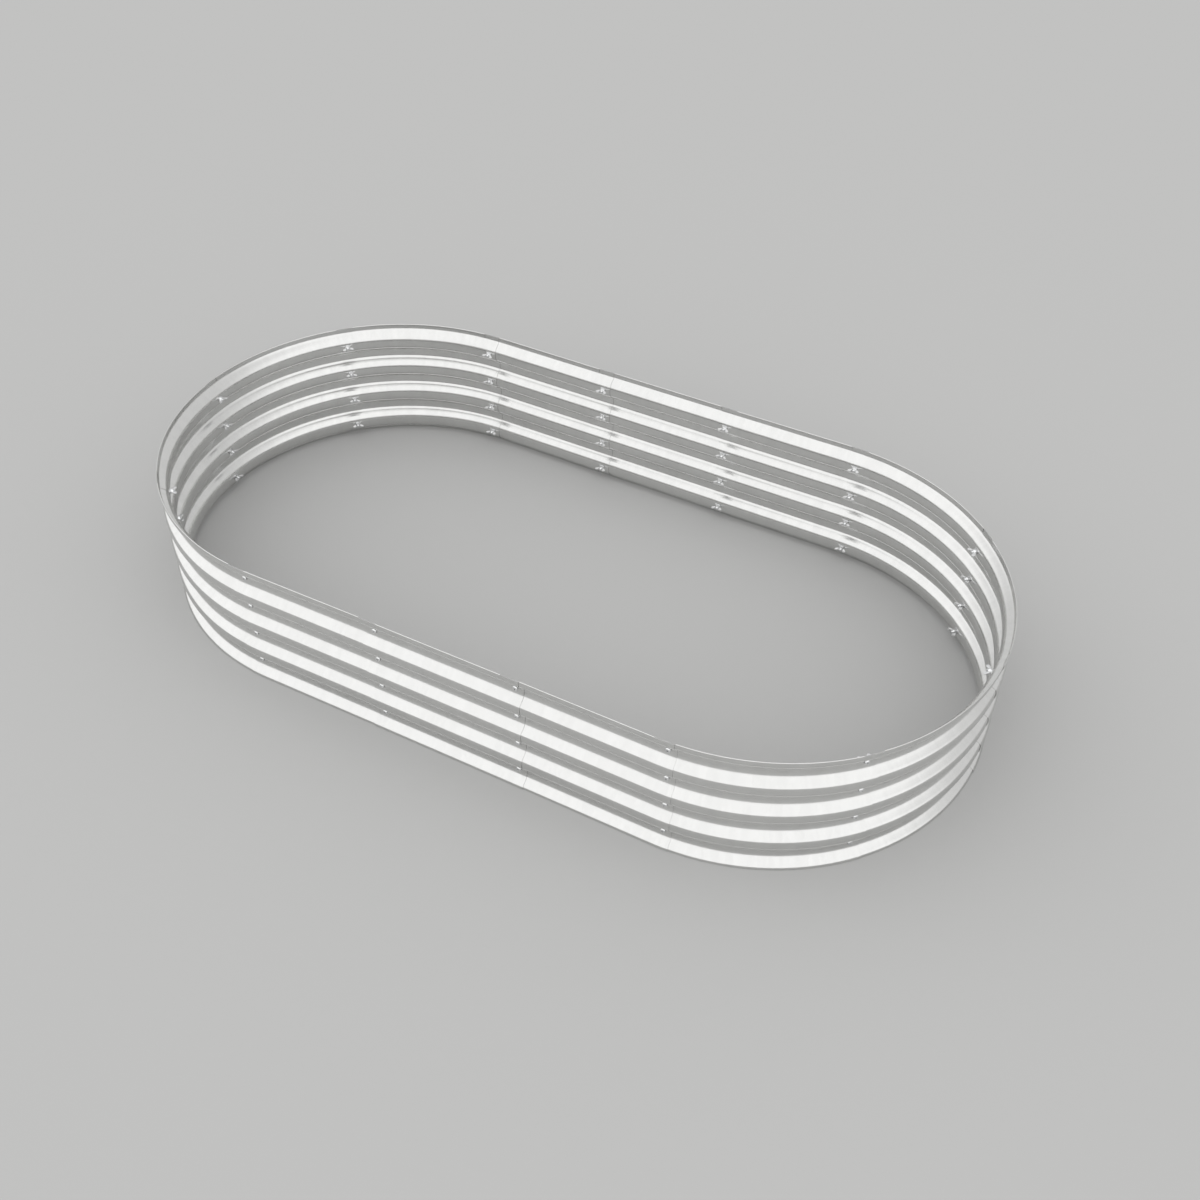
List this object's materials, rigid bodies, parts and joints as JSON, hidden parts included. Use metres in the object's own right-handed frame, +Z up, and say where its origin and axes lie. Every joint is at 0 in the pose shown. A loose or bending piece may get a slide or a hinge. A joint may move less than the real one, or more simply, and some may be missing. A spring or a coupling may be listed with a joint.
{
  "type": "raised garden bed",
  "caption": "Long oval raised garden bed, open above and below: corrugated galvanised steel panels lapped and bolted into a ring, with wing nuts on the inside.",
  "frame": {"origin": "centre of the ring on the ground, level with the bottom edges of the panels", "axes": "+X along the long sides towards the right end, +Y towards the back side, +Z up"},
  "size_m": [1.7788, 0.9194, 0.288],
  "materials": {
    "galvanised_sheet": "galvanised, satin, faint upright streaks",
    "bright_zinc": "bright zinc plated"
  },
  "bodies": {
    "root": {"front_panel_1": "galvanised_sheet", "front_panel_2": "galvanised_sheet", "front_panel_3": "galvanised_sheet", "right_panel_1": "galvanised_sheet", "right_panel_2": "galvanised_sheet", "right_panel_3": "galvanised_sheet", "right_panel_4": "galvanised_sheet", "back_panel_1": "galvanised_sheet", "back_panel_2": "galvanised_sheet", "back_panel_3": "galvanised_sheet", "left_panel_1": "galvanised_sheet", "left_panel_2": "galvanised_sheet", "left_panel_3": "galvanised_sheet", "left_panel_4": "galvanised_sheet", "bolt_front_1": "bright_zinc", "bolt_front_2": "bright_zinc", "bolt_front_3": "bright_zinc", "bolt_right_1": "bright_zinc", "bolt_right_2": "bright_zinc", "bolt_right_3": "bright_zinc", "bolt_right_4": "bright_zinc", "bolt_back_1": "bright_zinc", "bolt_back_2": "bright_zinc", "bolt_back_3": "bright_zinc", "bolt_left_1": "bright_zinc", "bolt_left_2": "bright_zinc", "bolt_left_3": "bright_zinc", "bolt_left_4": "bright_zinc", "washer_front_1": "bright_zinc", "washer_front_2": "bright_zinc", "washer_front_3": "bright_zinc", "washer_right_1": "bright_zinc", "washer_right_2": "bright_zinc", "washer_right_3": "bright_zinc", "washer_right_4": "bright_zinc", "washer_back_1": "bright_zinc", "washer_back_2": "bright_zinc", "washer_back_3": "bright_zinc", "washer_left_1": "bright_zinc", "washer_left_2": "bright_zinc", "washer_left_3": "bright_zinc", "washer_left_4": "bright_zinc", "wing_nut_front_1": "bright_zinc", "wing_nut_front_2": "bright_zinc", "wing_nut_front_3": "bright_zinc", "wing_nut_right_1": "bright_zinc", "wing_nut_right_2": "bright_zinc", "wing_nut_right_3": "bright_zinc", "wing_nut_right_4": "bright_zinc", "wing_nut_back_1": "bright_zinc", "wing_nut_back_2": "bright_zinc", "wing_nut_back_3": "bright_zinc", "wing_nut_left_1": "bright_zinc", "wing_nut_left_2": "bright_zinc", "wing_nut_left_3": "bright_zinc", "wing_nut_left_4": "bright_zinc"}
  },
  "joints": []
}
